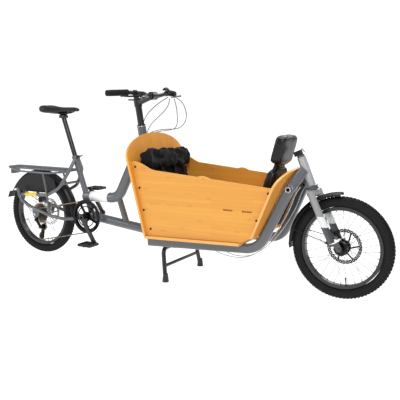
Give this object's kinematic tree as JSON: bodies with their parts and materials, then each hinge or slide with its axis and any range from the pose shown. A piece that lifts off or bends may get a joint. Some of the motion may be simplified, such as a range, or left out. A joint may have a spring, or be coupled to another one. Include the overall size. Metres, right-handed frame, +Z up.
{
  "type": "cargo bicycle",
  "caption": "Two-wheeled cargo bicycle with a bamboo load box ahead of the rider, cable steering to the front fork, derailleur drive and a folding two-legged stand.",
  "frame": {"origin": "on the ground under the middle of the bounding box, halfway along the bicycle", "axes": "+X forward, +Y to the rider's left, +Z up"},
  "size_m": [2.5289, 0.6782, 1.056],
  "materials": {
    "frame_paint": "satin slate grey paint",
    "black_metal": "satin black",
    "dark_alloy": "black anodised",
    "alloy": "brushed silver",
    "steel": "bare stainless",
    "chain_steel": "oiled steel",
    "bamboo": "clear-coated bamboo board",
    "tyre": "matt black rubber",
    "rubber": "matt grip rubber",
    "black_plastic": "fine-grained black",
    "fabric": "black woven polyester",
    "vinyl": "smooth black coated fabric",
    "cable": "grey cable housing"
  },
  "bodies": {
    "frame": {"seat_tube": "frame_paint", "bottom_bracket": "frame_paint", "top_tube": "frame_paint", "lower_tube": "frame_paint", "frame_braces": "frame_paint", "rear_head_tube": "alloy", "cargo_rail_right": "frame_paint", "cargo_rail_left": "frame_paint", "front_head_tube": "alloy", "upper_stays": "frame_paint", "lower_stays": "frame_paint", "rear_rack": "frame_paint", "rear_fender": "black_plastic", "box_side_right": "bamboo", "box_side_left": "bamboo", "box_back_panel": "bamboo", "box_front_panel": "bamboo", "box_floor": "bamboo", "box_bolts": "steel", "splash_guard": "black_plastic", "bench_back": "fabric", "bench_cushion": "fabric", "front_backrest": "vinyl", "rear_caliper": "dark_alloy", "rear_derailleur": "dark_alloy", "chain": "chain_steel", "frame_cables": "cable", "rear_axle": "steel"},
    "column": {"steering_column": "black_metal", "handlebar_stem": "black_metal", "handlebar": "black_metal", "grips": "rubber", "bar_controls": "black_plastic", "control_cables": "cable"},
    "brake_lever_r": {"brake_lever_right": "dark_alloy"},
    "brake_lever_l": {"brake_lever_left": "dark_alloy"},
    "shift_thumb": {"shift_lever": "black_plastic"},
    "bell_hammer": {"bell_striker": "dark_alloy"},
    "fork_unit": {"fork": "frame_paint", "front_fender": "black_plastic", "front_caliper": "dark_alloy", "front_light": "black_plastic", "front_brake_hose": "cable"},
    "front_wheel": {"front_tyre": "tyre", "front_rim": "black_metal", "front_spokes": "steel", "front_hub": "dark_alloy"},
    "rear_wheel": {"rear_tyre": "tyre", "rear_rim": "black_metal", "rear_spokes": "steel", "rear_hub": "dark_alloy"},
    "sprockets": {"cassette": "chain_steel"},
    "crank": {"crank_arms": "black_metal", "chainring": "dark_alloy"},
    "pedal_r": {"pedal_right": "black_plastic"},
    "pedal_l": {"pedal_left": "black_plastic"},
    "stand": {"stand_legs": "black_metal"},
    "seat": {"saddle": "black_plastic", "seat_post": "black_metal"},
    "collar_quick_lever": {"collar_lever": "dark_alloy"}
  },
  "joints": [
    {"name": "column_turn", "type": "hinge", "parent": "frame", "child": "column", "pos_m": [-0.2215, 0, 0.978], "axis": [-0.1662, 0, 0.9861], "range_deg": [-40, 40], "deforming": ["control_cables"]},
    {"name": "fork_turn", "type": "hinge", "parent": "frame", "child": "fork_unit", "pos_m": [0.8065, 0, 0.633], "axis": [-0.3907, 0, 0.9205], "range_deg": [-40, 40], "deforming": ["front_brake_hose"]},
    {"name": "front_wheel_spin", "type": "hinge", "parent": "fork_unit", "child": "front_wheel", "pos_m": [1.0045, 0, 0.26], "axis": [0, 1, 0], "continuous": true},
    {"name": "rear_wheel_spin", "type": "hinge", "parent": "frame", "child": "rear_wheel", "pos_m": [-0.9835, 0, 0.26], "axis": [0, 1, 0], "continuous": true},
    {"name": "crank_spin", "type": "hinge", "parent": "frame", "child": "crank", "pos_m": [-0.5755, 0, 0.28], "axis": [0, 1, 0], "continuous": true},
    {"name": "sprocket_spin", "type": "hinge", "parent": "frame", "child": "sprockets", "pos_m": [-0.9835, 0, 0.26], "axis": [0, 1, 0], "continuous": true},
    {"name": "pedal_right_spin", "type": "hinge", "parent": "crank", "child": "pedal_r", "pos_m": [-0.48541, -0.157, 0.13583], "axis": [0, 1, 0], "continuous": true},
    {"name": "pedal_left_spin", "type": "hinge", "parent": "crank", "child": "pedal_l", "pos_m": [-0.66559, 0.157, 0.42417], "axis": [0, 1, 0], "continuous": true},
    {"name": "stand_fold", "type": "hinge", "parent": "frame", "child": "stand", "pos_m": [0.0565, 0, 0.18], "axis": [0, 1, 0], "range_deg": [0, 84]},
    {"name": "seat_height", "type": "slide", "parent": "frame", "child": "seat", "axis": [-0.3272, 0, 0.945], "range_m": [-0.12, 0.04]},
    {"name": "collar_release", "type": "hinge", "parent": "frame", "child": "collar_quick_lever", "pos_m": [-0.6695, -0.014, 0.639], "axis": [0, -1, 0], "range_deg": [0, 90]},
    {"name": "brake_right_pull", "type": "hinge", "parent": "column", "child": "brake_lever_r", "pos_m": [-0.0795, -0.158, 1.01], "axis": [0, 0, -1], "range_deg": [0, 13], "stiffness_Nm_per_rad": 0.6, "springref_deg": -5.73},
    {"name": "brake_left_pull", "type": "hinge", "parent": "column", "child": "brake_lever_l", "pos_m": [-0.0795, 0.158, 1.01], "axis": [0, 0, 1], "range_deg": [0, 13], "stiffness_Nm_per_rad": 0.6, "springref_deg": -5.73},
    {"name": "shift_push", "type": "hinge", "parent": "column", "child": "shift_thumb", "pos_m": [-0.1235, -0.15, 0.988], "axis": [0, 0, 1], "range_deg": [0, 22], "stiffness_Nm_per_rad": 0.15, "springref_deg": -5.73},
    {"name": "bell_ring", "type": "hinge", "parent": "column", "child": "bell_hammer", "pos_m": [-0.0875, 0.134, 1.028], "axis": [0, 0, 1], "range_deg": [0, 20], "stiffness_Nm_per_rad": 0.05, "springref_deg": -5.73}
  ],
  "couplings": [
    {"joint": "fork_turn", "follows": "column_turn", "ratio": 1},
    {"joint": "sprocket_spin", "follows": "crank_spin", "ratio": 3.2}
  ]
}
